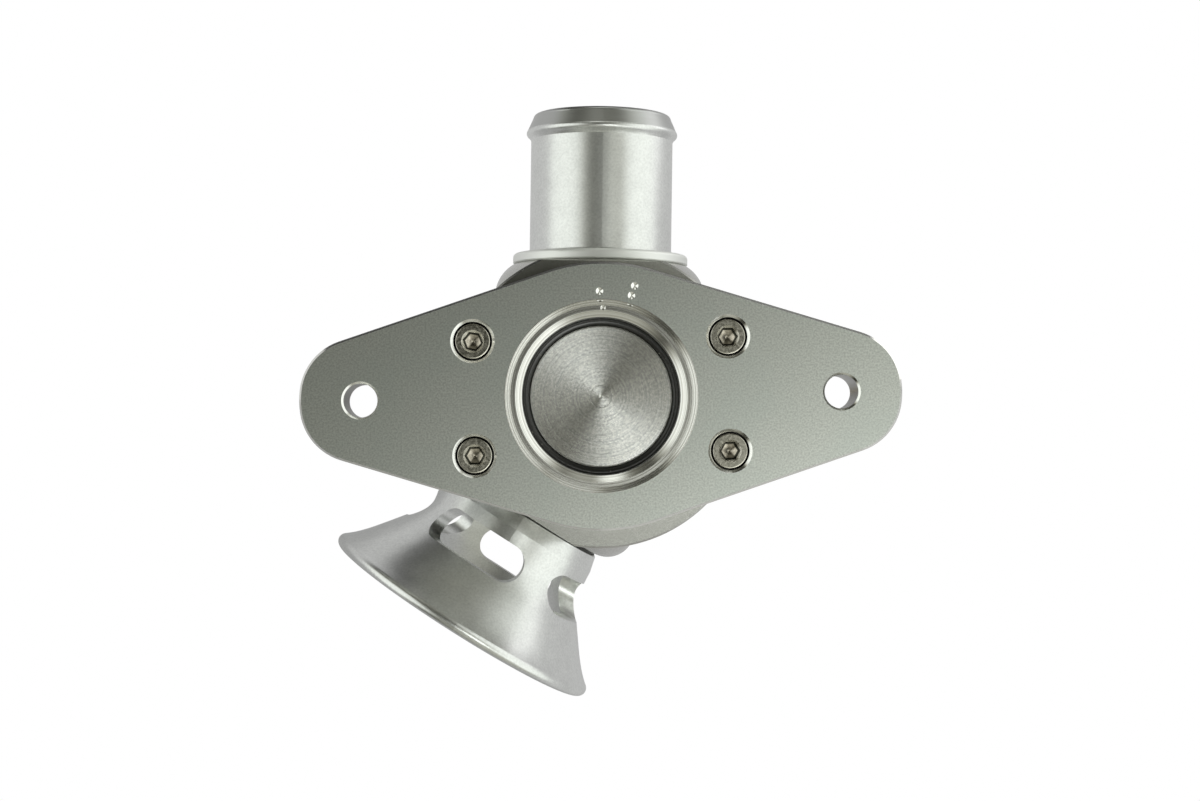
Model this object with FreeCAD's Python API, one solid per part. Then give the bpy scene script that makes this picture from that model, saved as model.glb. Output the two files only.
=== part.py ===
import FreeCAD, Part
import math
import os

os.makedirs("parts", exist_ok=True)

# Blow off valve. Millimetres. The origin is midway between the two mounting
# holes on the face that bolts to the engine pipe, +X along the holes, +Z out
# of that face. The valve stands on the flat of its end cap, far below.

# Driving dimensions
PLATE_T = 16.0
PLATE_HALF_LENGTH = 72.7
PLATE_HALF_WIDTH = 32.4
BODY_R = 37.5
TUBE_R = 18.6
THROAT_R = 21.0
STROKE = 11.0
CAP_T = 14.0

# Fits
RUNNING_GAP = 0.05
SKIRT_GAP = 0.08
THREAD_GAP = 0.02
STOP_GAP = 0.05
SEAL_SIDE_GAP = 0.1

# Small edges
FINE_EDGE = 0.3
PLATE_EDGE = 0.5
EDGE = 0.8
OVER = 1.0

# Flange plate
FLANK_ANGLE = 17.75
APEX_R = 41.0
END_R = 22.0
END_CORNER_R = 14.0
MOUNT_HOLE_R = 4.1
MOUNT_EDGE = 14.7
MOUNT_HALF_SPACING = PLATE_HALF_LENGTH - MOUNT_EDGE

# Flange screws, M5 socket heads sunk in the plate
FLANGE_SCREW_RADIUS = BODY_R - 3.75
FLANGE_SCREW_ANGLE = 24.13
M5_R = 2.5
M5_CLEARANCE_R = 2.75
M5_HEAD_R = 4.25
M5_HEAD_H = 5.0
M5_HEX = 4.0
M5_LENGTH = 20.0
M5_SINK = 0.6
M5_FLOOR_Z = -M5_SINK - M5_HEAD_H
COUNTERBORE_R = 4.7
COUNTERBORE_CHAMFER = 0.65
SOCKET_DEPTH = 0.42
SOCKET_LEAD = 0.11
FLANGE_SOCKET_TURNS = (49.0, 0.0, 1.0, 0.0)

# Recess and seat in the plate
LAND_R = THROAT_R - 1.95
LAND_TOP_Z = -4.5
SEAT_TOP_Z = -5.8
RECESS_R = LAND_R + 4.25
RECESS_CHAMFER = 0.8
RECESS_STEP = 0.15
RING_CHAMFER = 0.5
RING_OUTER_R = RECESS_R - RECESS_CHAMFER - RING_CHAMFER
RING_Z = -RECESS_CHAMFER - RECESS_STEP - RING_CHAMFER
RING_INNER_R = LAND_R + 1.8
BEVEL_LOW_R = LAND_R + 0.2
BEVEL_LOW_Z = RING_Z - 1.15
PUNCH_R = 0.9
PUNCH_DEPTH = 0.6

# Outlets: the hose spigot and the ports that both outlets screw into
TUBE_WALL = 2.4
PORT_BORE_R = TUBE_R - TUBE_WALL
PLUG_R = TUBE_R + 0.4
PLUG_L = 8.5
PORT_SEAL_W = 2.4
COLLAR_R = PLUG_R + 3.9
COLLAR_ROUND = 1.0
BOSS_R = COLLAR_R + 4.5
SPIGOT_SHOULDER = (BOSS_R - COLLAR_R + 0.5, 7.0, 1.0)
TRUMPET_SHOULDER = (7.0, 7.0, 2.05)
PORT_Z = -PLATE_T - BOSS_R - 2.6
SPIGOT_AZIMUTH = 88.1
SPIGOT_SEAT = BODY_R - 2.2
SPIGOT_SEAT_RISE = 1.3
COLLAR_END = SPIGOT_SEAT + 2.65
SPIGOT_END = SPIGOT_SEAT + 39.4
TUBE_ROOT = 0.5
BEAD_R = TUBE_R + 1.2
BEAD_AT = SPIGOT_END - 5.2
BEAD_RISE = 1.7
BEAD_FALL = 0.9
NOSE_TOP_R = TUBE_R + 0.95
NOSE_TIP_R = TUBE_R - 0.5
NOSE_ROUND = 1.0
MOUTH_R = TUBE_R - 1.75

# Trumpet: distances along its axis are from its seat
TRUMPET_AZIMUTH = 236.55
TRUMPET_SEAT = BODY_R - 2.9
TRUMPET_BASE_R = PLUG_R + PORT_SEAL_W
JOINT_BEVEL = 0.9
NECK_AT = 9.4
NECK_R = TRUMPET_BASE_R + 1.35
BELL_STARTS = 1.9
LIP_AT = 30.6
LIP_R = TUBE_R + 18.85
LIP_SLOPE = 47.0
LIP_ROUND = 1.65
SLOT_START = 8.2
SLOT_W = 9.6
SLOT_ARC = 71.0
SLOT_FIRST = 17.3
SLOT_COUNT = 4

# Body
CHAMBER_R = BODY_R - 11.0
CHAMBER_FLOOR_Z = PORT_Z - PORT_BORE_R - EDGE
GUIDE_BORE_R = THROAT_R
GUIDE_BORE_L = 21.0
BODY_BOTTOM_Z = CHAMBER_FLOOR_Z - GUIDE_BORE_L
FACE_SEAL_DEPTH = 1.5
FACE_SEAL_W = 2.4
SEAL_BULGE = 0.35
FLANGE_SEAL_R0 = CHAMBER_R + 1.1
FLANGE_SEAL_R1 = FLANGE_SEAL_R0 + FACE_SEAL_W

# Piston and its seals
NOSE_Z = -5.2
NOSE_R = LAND_R - 1.85
NOSE_DISC = 1.1
CENTRE_R = 2.7
CENTRE_DEPTH = 0.1
PIP_R = 0.5
PIP_DEPTH = 0.5
SEAL_CORD_R = 1.5
SEAL_RING_R = LAND_R - 0.65
SEAL_RING_Z = -7.4
GROOVE_TOP_Z = NOSE_Z - NOSE_DISC
GROOVE_BOTTOM_Z = SEAL_RING_Z - SEAL_CORD_R
GROOVE_FLOOR_R = SEAL_RING_R - SEAL_CORD_R
SHOULDER_R = LAND_R - 0.45
SHOULDER_H = 2.1
STEM_R = THROAT_R - 6.0
SKIRT_TOP_Z = CHAMBER_FLOOR_Z - 1.0
SKIRT_H = 12.0
SKIRT_BOTTOM_Z = SKIRT_TOP_Z - SKIRT_H
SKIRT_R = GUIDE_BORE_R - SKIRT_GAP
BAND_R = GUIDE_BORE_R - RUNNING_GAP
SKIRT_SEAL_H = 2.6
SKIRT_SEAL_DEPTH = 2.0
SKIRT_SEAL_FLAT = 0.7
SKIRT_SEAL_Z = SKIRT_TOP_Z - 3.6
GUIDE_H = 4.0
GUIDE_DEPTH = 1.5
GUIDE_Z = SKIRT_TOP_Z - 8.6
GUIDE_SPLIT = 1.0

# End cap
CAP_TOP_Z = BODY_BOTTOM_Z
CAP_BOTTOM_Z = CAP_TOP_Z - CAP_T
CAP_FLOOR_T = 4.0
CAP_FLOOR_Z = CAP_BOTTOM_Z + CAP_FLOOR_T
CAP_CUP_R = GUIDE_BORE_R + 1.0
CAP_POCKET_R = GUIDE_BORE_R - 4.0
CAP_STOP_Z = SKIRT_BOTTOM_Z - STROKE - STOP_GAP
CAP_SEAL_R0 = CAP_CUP_R + 1.8
CAP_SEAL_R1 = CAP_SEAL_R0 + FACE_SEAL_W
CAP_FLAT_X = BODY_R - 1.5

# Cap screws, M4 socket heads sunk in the cap
CAP_SCREW_RADIUS = BODY_R - 6.0
M4_R = 2.0
M4_CLEARANCE_R = 2.25
M4_HEAD_R = 3.5
M4_HEAD_H = 4.0
M4_HEX = 3.0
M4_LENGTH = 20.0
M4_SINK = 0.6
M4_FLOOR_Z = CAP_BOTTOM_Z + M4_SINK + M4_HEAD_H
CAP_COUNTERBORE_R = 3.8

# Spring
SPRING_POCKET_R = STEM_R - 2.5
SPRING_POCKET_Z = SKIRT_BOTTOM_Z + 40.0
WIRE_R = 0.9
SPRING_R = SPRING_POCKET_R - 2.2
SPRING_SPIGOT_R = SPRING_R - WIRE_R - 0.5
SPRING_SPIGOT_H = 3.0
LIGHTENING_R = SPRING_R - 2.1
LIGHTENING_Z = NOSE_Z - 7.8
ACTIVE_COILS = 5.5
END_COILS = 1.0
COIL_GAP = 0.15
SPRING_GRIND = 0.35
SPRING_POINTS_PER_TURN = 16

# Vacuum nipple
NIPPLE_Z = CAP_TOP_Z - 6.0
NIPPLE_THREAD_R = 3.0
NIPPLE_THREAD_L = 8.0
NIPPLE_HEX = 9.0
NIPPLE_HEX_L = 5.0
NIPPLE_NECK_R = 2.1
NIPPLE_BARB_R = 2.6
NIPPLE_BORE_R = 1.3
NIPPLE_TAIL = 15.0
NIPPLE_BARB_L = 4.0
WASHER_R = 5.0
WASHER_T = 1.0

X_AXIS = FreeCAD.Vector(1, 0, 0)
Y_AXIS = FreeCAD.Vector(0, 1, 0)
Z_AXIS = FreeCAD.Vector(0, 0, 1)
ORIGIN = FreeCAD.Vector(0, 0, 0)


def at(x, y, z=0.0):
    return FreeCAD.Vector(x, y, z)


def on_section(r, z):
    return FreeCAD.Vector(r, 0, z)


# A closed outline. A step is a corner, or a pair: a point passed on an arc and the arc's end.
def outline(steps, place):
    start = place(*steps[0])
    here = start
    edges = []
    for step in list(steps[1:]) + [steps[0]]:
        if isinstance(step[0], tuple):
            through = place(*step[0])
            end = place(*step[1])
            edges.append(Part.Arc(here, through, end).toShape())
            here = end
        else:
            end = place(*step)
            if (end - here).Length > 1e-7:
                edges.append(Part.makeLine(here, end))
            here = end
    return Part.Face(Part.Wire(edges))


def turned(steps, angle=360.0):
    return outline(steps, on_section).revolve(ORIGIN, Z_AXIS, angle)


def cylinder(r, z0, z1, x=0.0, y=0.0):
    return Part.makeCylinder(r, z1 - z0, at(x, y, z0))


def cone(r0, r1, z0, z1, x=0.0, y=0.0):
    return Part.makeCone(r0, r1, z1 - z0, at(x, y, z0))


def ring(r0, r1, z0, z1):
    return turned([(r0, z0), (r1, z0), (r1, z1), (r0, z1)])


def hexagon(across_flats, z0, z1, turn=0.0):
    corner_r = across_flats / math.sqrt(3)
    corners = []
    for k in range(6):
        a = math.radians(60 * k + turn)
        corners.append(at(corner_r * math.cos(a), corner_r * math.sin(a), z0))
    wire = Part.makePolygon(corners + [corners[0]])
    return Part.Face(wire).extrude(at(0, 0, z1 - z0))


# The point half way round a quarter circle of radius r whose corner is at (x, y)
def quarter(x, y, r, toward_x, toward_y):
    inset = r * (1 - math.sqrt(0.5))
    return (x + toward_x * inset, y + toward_y * inset)


# A seal squeezed between two flats in a groove from r0 to r1, with bulging inner and outer sides
def squeezed_ring(groove_r0, groove_r1, z0, z1):
    r0 = groove_r0 + SEAL_SIDE_GAP
    r1 = groove_r1 - SEAL_SIDE_GAP
    bulge = SEAL_BULGE * (z1 - z0)
    middle = (z0 + z1) / 2
    return turned([
        (r0 + bulge, z0), (r1 - bulge, z0), ((r1, middle), (r1 - bulge, z1)),
        (r0 + bulge, z1), ((r0, middle), (r0 + bulge, z0)),
    ])


# An outlet piece, drawn along +Z from the main axis, laid out at its azimuth
def lay_out(shape, azimuth):
    a = math.radians(azimuth)
    away = at(math.cos(a), math.sin(a), 0)
    side = away.cross(Z_AXIS)
    turn = FreeCAD.Rotation(Z_AXIS, side, away, "ZXY")
    shape.Placement = FreeCAD.Placement(at(0, 0, PORT_Z), turn).multiply(shape.Placement)
    return shape


def save(shape, name):
    if len(shape.Solids) == 1:
        shape = shape.Solids[0]
    print(name, shape.isValid(), len(shape.Solids), round(shape.Volume, 1))
    shape.exportStep("parts/" + name + ".step")


# Flange plate

def plate_outline():
    a = math.radians(FLANK_ANGLE)
    across = at(math.sin(a), math.cos(a))
    down_flank = at(math.cos(a), -math.sin(a))
    apex_centre = at(0, PLATE_HALF_WIDTH - APEX_R)
    end_centre = at(PLATE_HALF_LENGTH - END_R, 0)
    offset = (APEX_R - END_CORNER_R) - across.dot(end_centre - apex_centre)
    reach = math.sqrt((END_R - END_CORNER_R) ** 2 - offset ** 2)
    corner = end_centre + across * offset + down_flank * reach
    apex_end = apex_centre + across * APEX_R
    corner_start = corner + across * END_CORNER_R
    out = (corner - end_centre).normalize()
    corner_end = end_centre + out * END_R
    between = (across + out).normalize()
    corner_mid = corner + between * END_CORNER_R

    def flipped(p, sx, sy):
        return at(sx * p.x, sy * p.y)

    edges = []
    for sx, sy in ((1, 1), (1, -1), (-1, -1), (-1, 1)):
        edges.append(Part.makeLine(flipped(apex_end, sx, sy), flipped(corner_start, sx, sy)))
        ends = (flipped(corner_start, sx, sy), flipped(corner_mid, sx, sy), flipped(corner_end, sx, sy))
        edges.append(Part.Arc(*ends).toShape())
    for s in (1, -1):
        tip = at(s * PLATE_HALF_LENGTH, 0)
        edges.append(Part.Arc(flipped(corner_end, s, 1), tip, flipped(corner_end, s, -1)).toShape())
        top = at(0, s * PLATE_HALF_WIDTH)
        edges.append(Part.Arc(flipped(apex_end, -1, s), top, flipped(apex_end, 1, s)).toShape())
    return Part.Wire(Part.__sortEdges__(edges))


def plate_blank():
    blank = Part.Face(plate_outline()).extrude(at(0, 0, -PLATE_T))
    rims = []
    for e in blank.Edges:
        z = [v.Z for v in e.Vertexes]
        if max(z) - min(z) < 1e-6:
            rims.append(e)
    return blank.makeChamfer(PLATE_EDGE, rims)


def recess():
    step_r = RECESS_R - RECESS_CHAMFER
    cone_r = THROAT_R - LAND_R
    return turned([
        (0, OVER), (RECESS_R + OVER, OVER), (RECESS_R, 0), (step_r, -RECESS_CHAMFER),
        (step_r, -RECESS_CHAMFER - RECESS_STEP), (RING_OUTER_R, RING_Z), (RING_INNER_R, RING_Z),
        (BEVEL_LOW_R, BEVEL_LOW_Z), (LAND_R, LAND_TOP_Z), (LAND_R, SEAT_TOP_Z),
        (THROAT_R, SEAT_TOP_Z - cone_r), (THROAT_R, -PLATE_T - OVER), (0, -PLATE_T - OVER),
    ])


def mounting_hole(x):
    c = PLATE_EDGE
    hole = cylinder(MOUNT_HOLE_R, -PLATE_T - OVER, OVER, x)
    top = cone(MOUNT_HOLE_R, MOUNT_HOLE_R + c + OVER, -c, OVER, x)
    low = cone(MOUNT_HOLE_R + c + OVER, MOUNT_HOLE_R, -PLATE_T - OVER, -PLATE_T + c, x)
    return hole.fuse([top, low])


def screw_pocket(x, y):
    c = COUNTERBORE_CHAMFER
    bore = cylinder(COUNTERBORE_R, M5_FLOOR_Z, OVER, x, y)
    rim = cone(COUNTERBORE_R, COUNTERBORE_R + c + OVER, -c, OVER, x, y)
    shank = cylinder(M5_CLEARANCE_R, -PLATE_T - OVER, M5_FLOOR_Z + OVER, x, y)
    return bore.fuse([rim, shank])


# Two short rows of punch marks that cross the edge of the recess: how far round from +Y, how far
# outside the land, the height of the face and the mark's size
def punch_marks():
    chamfer_z = -RECESS_CHAMFER / 2
    marks = (
        (0.0, 6.25, 0.0, 1.0), (0.25, 3.95, chamfer_z, 0.6), (2.15, 2.3, RING_Z, 0.75),
        (17.85, 8.7, 0.0, 1.0), (17.7, 6.25, 0.0, 1.0), (18.6, 3.95, chamfer_z, 0.6),
    )
    tools = []
    for round_from_y, out, z, size in marks:
        a = math.radians(90 - round_from_y)
        r = LAND_R + out
        depth = PUNCH_DEPTH * size
        spread = 1.5 * PUNCH_R * size
        tools.append(cone(0, spread, z - depth, z + depth / 2, r * math.cos(a), r * math.sin(a)))
    return tools


def screw_places():
    a = math.radians(FLANGE_SCREW_ANGLE)
    x, y = FLANGE_SCREW_RADIUS * math.cos(a), FLANGE_SCREW_RADIUS * math.sin(a)
    return [(-x, y), (x, y), (x, -y), (-x, -y)]


def flange_plate():
    tools = [recess()]
    for sx in (-1, 1):
        tools.append(mounting_hole(sx * MOUNT_HALF_SPACING))
    for x, y in screw_places():
        tools.append(screw_pocket(x, y))
    return plate_blank().cut(tools).cut(punch_marks())


# Socket head screws, drawn with the head's top at z = 0

def socket_screw(r, head_r, head_h, hex_size, length, turn):
    e = FINE_EDGE
    shape = turned([
        (0, 0), (head_r - e, 0), (quarter(head_r, 0, e, -1, -1), (head_r, -e)), (head_r, -head_h),
        (r, -head_h), (r, -head_h - length + e), (r - e, -head_h - length), (0, -head_h - length),
    ])
    depth = SOCKET_DEPTH * head_h
    corner_r = hex_size / math.sqrt(3)
    lead_r = corner_r + SOCKET_LEAD * hex_size
    tip = cone(0, corner_r, -depth - corner_r / 2, -depth)
    socket = hexagon(hex_size, -depth, OVER, turn).common(cylinder(corner_r, -depth, OVER))
    lead = cone(0, lead_r + OVER, -lead_r, OVER)
    tip = tip.common(hexagon(hex_size, -head_h, 0, turn))
    return shape.cut([socket, tip, lead])


def flange_screw(place, turn):
    shape = socket_screw(M5_R, M5_HEAD_R, M5_HEAD_H, M5_HEX, M5_LENGTH, turn)
    shape.translate(at(place[0], place[1], -M5_SINK))
    return shape


def cap_screw_places():
    places = []
    for k in range(4):
        a = math.radians(45 + 90 * k)
        places.append((CAP_SCREW_RADIUS * math.cos(a), CAP_SCREW_RADIUS * math.sin(a)))
    return places


def cap_screw(place, turn):
    shape = socket_screw(M4_R, M4_HEAD_R, M4_HEAD_H, M4_HEX, M4_LENGTH, turn)
    shape.rotate(ORIGIN, X_AXIS, 180)
    shape.translate(at(place[0], place[1], CAP_BOTTOM_Z + M4_SINK))
    return shape


# Body

# A boss with a flat seat and a rounded shoulder: how wide and how long the shoulder is, and how far it bulges
def boss(seat, shoulder):
    wide, long, bulge = shoulder
    chord = math.hypot(wide, long)
    middle = (BOSS_R - wide / 2 + bulge * long / chord, seat - long / 2 + bulge * wide / chord)
    return turned([
        (0, 0), (BOSS_R, 0), (BOSS_R, seat - long), (middle, (BOSS_R - wide, seat)), (0, seat),
    ])


# What the cutter takes off the drum beside an outlet's seat, down to the foot of the boss
def seat_cut(flat):
    return Part.makeBox(BODY_R + BOSS_R, 2 * BODY_R, BODY_R, at(-BOSS_R, -BODY_R, flat))


def port(seat):
    groove_r = PLUG_R + PORT_SEAL_W
    thread = cylinder(PLUG_R + THREAD_GAP, seat - PLUG_L, seat + OVER)
    bore = cylinder(PORT_BORE_R, 0, seat)
    seal = cylinder(groove_r, seat - FACE_SEAL_DEPTH, seat + OVER)
    return thread.fuse([bore, seal])


def drum():
    e = PLATE_EDGE
    return turned([
        (0, BODY_BOTTOM_Z), (BODY_R - e, BODY_BOTTOM_Z), (BODY_R, BODY_BOTTOM_Z + e),
        (BODY_R, -PLATE_T - e), (BODY_R - e, -PLATE_T), (0, -PLATE_T),
    ])


def bore_steps():
    e = EDGE
    low = BODY_BOTTOM_Z - OVER
    return turned([
        (0, -PLATE_T + OVER), (CHAMBER_R, -PLATE_T + OVER), (CHAMBER_R, CHAMBER_FLOOR_Z),
        (GUIDE_BORE_R + e, CHAMBER_FLOOR_Z), (GUIDE_BORE_R, CHAMBER_FLOOR_Z - e),
        (GUIDE_BORE_R, low), (0, low),
    ])


def valve_body():
    outlets = (
        (SPIGOT_SEAT, SPIGOT_SEAT_RISE, SPIGOT_AZIMUTH, SPIGOT_SHOULDER),
        (TRUMPET_SEAT, 0.0, TRUMPET_AZIMUTH, TRUMPET_SHOULDER),
    )
    shape = drum().cut([lay_out(seat_cut(s - rise), a) for s, rise, a, e in outlets])
    shape = shape.fuse([lay_out(boss(s, e), a) for s, rise, a, e in outlets])
    tools = [bore_steps(), ring(FLANGE_SEAL_R0, FLANGE_SEAL_R1, -PLATE_T - FACE_SEAL_DEPTH, -PLATE_T + OVER)]
    tools += [lay_out(port(s), a) for s, rise, a, e in outlets]
    screw_end_z = M5_FLOOR_Z - M5_LENGTH - OVER
    for x, y in screw_places():
        tools.append(cylinder(M5_R + THREAD_GAP, screw_end_z, -PLATE_T + OVER, x, y))
    for x, y in cap_screw_places():
        tools.append(cylinder(M4_R + THREAD_GAP, BODY_BOTTOM_Z - OVER, M4_FLOOR_Z + M4_LENGTH + OVER, x, y))
    return shape.cut(tools).removeSplitter()


def flange_o_ring():
    return squeezed_ring(FLANGE_SEAL_R0, FLANGE_SEAL_R1, -PLATE_T - FACE_SEAL_DEPTH, -PLATE_T)


# Piston and what rides on it

def piston():
    pip_z = NOSE_Z - PIP_DEPTH
    ring_z = NOSE_Z - CENTRE_DEPTH
    e = FINE_EDGE
    neck_z = GROOVE_BOTTOM_Z - SHOULDER_H
    stem_z = neck_z - (SHOULDER_R - STEM_R)
    seal_r = SKIRT_R - SKIRT_SEAL_DEPTH
    seal_top, seal_low = SKIRT_SEAL_Z + SKIRT_SEAL_H / 2, SKIRT_SEAL_Z - SKIRT_SEAL_H / 2
    guide_r = SKIRT_R - GUIDE_DEPTH
    guide_top = GUIDE_Z + GUIDE_H / 2 + RUNNING_GAP
    guide_low = GUIDE_Z - GUIDE_H / 2 - RUNNING_GAP
    return turned([
        (0, pip_z), (PIP_R, ring_z), (CENTRE_R, ring_z), (CENTRE_R + CENTRE_DEPTH, NOSE_Z),
        (NOSE_R - e, NOSE_Z), (NOSE_R, NOSE_Z - e), (NOSE_R, GROOVE_TOP_Z),
        (GROOVE_FLOOR_R, GROOVE_TOP_Z), (GROOVE_FLOOR_R, GROOVE_BOTTOM_Z),
        (SHOULDER_R - e, GROOVE_BOTTOM_Z), (SHOULDER_R, GROOVE_BOTTOM_Z - e), (SHOULDER_R, neck_z),
        (STEM_R, stem_z), (STEM_R, SKIRT_TOP_Z + OVER), (STEM_R + OVER, SKIRT_TOP_Z),
        (SKIRT_R - EDGE, SKIRT_TOP_Z), (SKIRT_R, SKIRT_TOP_Z - EDGE),
        (SKIRT_R, seal_top), (seal_r, seal_top), (seal_r, seal_low), (SKIRT_R, seal_low),
        (SKIRT_R, guide_top), (guide_r, guide_top), (guide_r, guide_low), (SKIRT_R, guide_low),
        (SKIRT_R, SKIRT_BOTTOM_Z + e), (SKIRT_R - e, SKIRT_BOTTOM_Z),
        (SPRING_POCKET_R + EDGE, SKIRT_BOTTOM_Z), (SPRING_POCKET_R, SKIRT_BOTTOM_Z + EDGE),
        (SPRING_POCKET_R, SPRING_POCKET_Z), (LIGHTENING_R, SPRING_POCKET_Z),
        (LIGHTENING_R, LIGHTENING_Z - LIGHTENING_R / 2), (0, LIGHTENING_Z),
    ])


def piston_seat_seal():
    return Part.makeTorus(SEAL_RING_R, SEAL_CORD_R, at(0, 0, SEAL_RING_Z))


def piston_skirt_seal():
    inner = SKIRT_R - SKIRT_SEAL_DEPTH
    z0, z1 = SKIRT_SEAL_Z - SKIRT_SEAL_H / 2, SKIRT_SEAL_Z + SKIRT_SEAL_H / 2
    middle = (inner + BAND_R) / 2
    low, high = SKIRT_SEAL_Z - SKIRT_SEAL_FLAT, SKIRT_SEAL_Z + SKIRT_SEAL_FLAT
    return turned([
        (inner, high), (inner, low), ((middle, z0), (BAND_R, low)),
        (BAND_R, high), ((middle, z1), (inner, high)),
    ])


def piston_guide_ring():
    band = ring(SKIRT_R - GUIDE_DEPTH + THREAD_GAP, BAND_R, GUIDE_Z - GUIDE_H / 2, GUIDE_Z + GUIDE_H / 2)
    corner = at(-GUIDE_BORE_R - OVER, 0, GUIDE_Z - GUIDE_H)
    split = Part.makeBox(GUIDE_BORE_R, GUIDE_SPLIT, 2 * GUIDE_H, corner)
    return band.cut(split)


# Height of the wire's centre after t turns: closed end coils, even pitch between
def spring_height(t):
    turns = ACTIVE_COILS + 2 * END_COILS
    length = SPRING_POCKET_Z - CAP_FLOOR_Z
    if t > turns / 2:
        return length - spring_height(turns - t)
    first = WIRE_R - SPRING_GRIND
    end_pitch = 2 * WIRE_R + COIL_GAP
    active_pitch = (length - 2 * first - 2 * END_COILS * end_pitch) / ACTIVE_COILS
    blend = END_COILS / 4
    past = t - END_COILS
    if past <= -blend:
        lift = 0.0
    elif past < blend:
        lift = (past + blend) ** 2 / (4 * blend)
    else:
        lift = past
    return first + end_pitch * (t - lift) + active_pitch * lift


def main_spring():
    turns = ACTIVE_COILS + 2 * END_COILS
    count = int(turns * SPRING_POINTS_PER_TURN)
    points = []
    for k in range(count + 1):
        t = turns * k / count
        a = 2 * math.pi * t
        points.append(at(SPRING_R * math.cos(a), SPRING_R * math.sin(a), CAP_FLOOR_Z + spring_height(t)))
    path = Part.BSplineCurve()
    path.interpolate(points)
    tangent = path.tangent(path.FirstParameter)[0]
    coil = Part.BRepOffsetAPI.MakePipeShell(Part.Wire([path.toShape()]))
    coil.setFrenetMode(True)
    coil.add(Part.Wire([Part.makeCircle(WIRE_R, points[0], tangent)]))
    coil.build()
    coil.makeSolid()
    return coil.shape().common(cylinder(2 * SPRING_R, CAP_FLOOR_Z, SPRING_POCKET_Z))


# End cap and nipple

def end_cap():
    e = EDGE
    shape = turned([
        (0, CAP_FLOOR_Z + SPRING_SPIGOT_H), (SPRING_SPIGOT_R - e, CAP_FLOOR_Z + SPRING_SPIGOT_H),
        (SPRING_SPIGOT_R, CAP_FLOOR_Z + SPRING_SPIGOT_H - e), (SPRING_SPIGOT_R, CAP_FLOOR_Z),
        (CAP_POCKET_R, CAP_FLOOR_Z), (CAP_POCKET_R, CAP_STOP_Z), (CAP_CUP_R, CAP_STOP_Z),
        (CAP_CUP_R, CAP_TOP_Z), (BODY_R - PLATE_EDGE, CAP_TOP_Z),
        (BODY_R, CAP_TOP_Z - PLATE_EDGE), (BODY_R, CAP_BOTTOM_Z + e),
        (BODY_R - e, CAP_BOTTOM_Z), (0, CAP_BOTTOM_Z),
    ])
    flat = Part.makeBox(BODY_R, 2 * BODY_R, 2 * CAP_T, at(CAP_FLAT_X, -BODY_R, CAP_BOTTOM_Z - CAP_T / 2))
    thread_end = CAP_FLAT_X - NIPPLE_THREAD_L - OVER
    thread = Part.makeCylinder(NIPPLE_THREAD_R + THREAD_GAP, BODY_R, at(thread_end, 0, NIPPLE_Z), X_AXIS)
    passage_start = (CAP_POCKET_R + SPRING_SPIGOT_R) / 2
    passage_l = CAP_FLAT_X - passage_start
    passage = Part.makeCylinder(NIPPLE_NECK_R, passage_l, at(passage_start, 0, NIPPLE_Z), X_AXIS)
    tools = [flat, thread, passage]
    tools.append(ring(CAP_SEAL_R0, CAP_SEAL_R1, CAP_TOP_Z - FACE_SEAL_DEPTH, CAP_TOP_Z + OVER))
    for x, y in cap_screw_places():
        tools.append(cylinder(M4_CLEARANCE_R, CAP_BOTTOM_Z - OVER, CAP_TOP_Z + OVER, x, y))
        tools.append(cylinder(CAP_COUNTERBORE_R, CAP_BOTTOM_Z - OVER, M4_FLOOR_Z, x, y))
    return shape.cut(tools)


def cap_o_ring():
    return squeezed_ring(CAP_SEAL_R0, CAP_SEAL_R1, CAP_TOP_Z - FACE_SEAL_DEPTH, CAP_TOP_Z)


def lay_nipple(shape):
    shape.Placement = FreeCAD.Placement(at(CAP_FLAT_X, 0, NIPPLE_Z), FreeCAD.Rotation(Y_AXIS, 90))
    return shape


def vacuum_nipple():
    e = FINE_EDGE
    hex_z0 = WASHER_T
    hex_z1 = hex_z0 + NIPPLE_HEX_L
    end = hex_z1 + NIPPLE_TAIL
    bead_z = end - NIPPLE_BARB_L
    tail = turned([
        (NIPPLE_BORE_R, -NIPPLE_THREAD_L), (NIPPLE_THREAD_R - e, -NIPPLE_THREAD_L),
        (NIPPLE_THREAD_R, -NIPPLE_THREAD_L + e), (NIPPLE_THREAD_R, hex_z0 + e), (NIPPLE_THREAD_R, hex_z1),
        (NIPPLE_NECK_R + e, hex_z1), (NIPPLE_NECK_R, hex_z1 + e), (NIPPLE_NECK_R, bead_z),
        (NIPPLE_BARB_R, bead_z + e), (NIPPLE_BARB_R, bead_z + 2 * e),
        (NIPPLE_NECK_R - e, end), (NIPPLE_BORE_R, end),
    ])
    corner_r = NIPPLE_HEX / math.sqrt(3)
    blank = turned([
        (NIPPLE_BORE_R, hex_z0), (corner_r, hex_z0), (corner_r, hex_z1 - e),
        (corner_r - 2 * e, hex_z1), (NIPPLE_BORE_R, hex_z1),
    ])
    return tail.fuse(blank.common(hexagon(NIPPLE_HEX, hex_z0, hex_z1))).removeSplitter()


def nipple_washer():
    return ring(NIPPLE_THREAD_R + SEAL_SIDE_GAP, WASHER_R, 0, WASHER_T)


# Outlets

def port_seal(seat):
    return squeezed_ring(PLUG_R, PLUG_R + PORT_SEAL_W, seat - FACE_SEAL_DEPTH, seat)


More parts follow.
